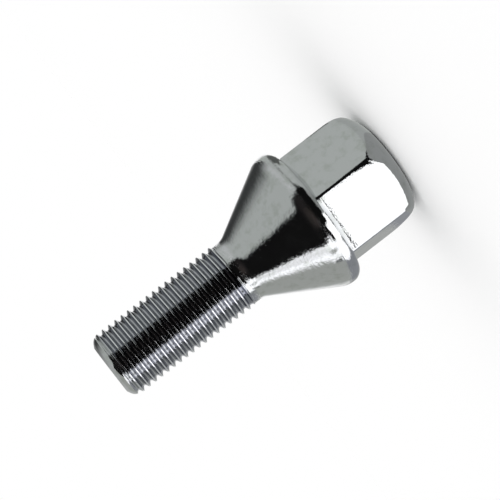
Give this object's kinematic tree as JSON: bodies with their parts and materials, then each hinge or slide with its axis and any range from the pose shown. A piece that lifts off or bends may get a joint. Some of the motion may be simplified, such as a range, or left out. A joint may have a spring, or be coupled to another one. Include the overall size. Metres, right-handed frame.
{
  "type": "wheel bolt",
  "caption": "Chrome-plated one-piece wheel bolt: hexagon head, round collar, cone seat, plain neck and a right-hand thread with a rounded tip.",
  "frame": {"origin": "middle of the flat end of the hexagon head, on which the bolt stands", "axes": "+Z runs along the bolt's axis from the head to the tip of the thread, and +X is the outward normal of a flat of the hexagon"},
  "size_m": [0.025, 0.025, 0.0555],
  "materials": {
    "chrome_plate": "bright chrome plating on steel, mirror-like, with fine ripples and faint polishing marks"
  },
  "bodies": {
    "root": {"wheel_bolt": "chrome_plate"}
  },
  "joints": []
}
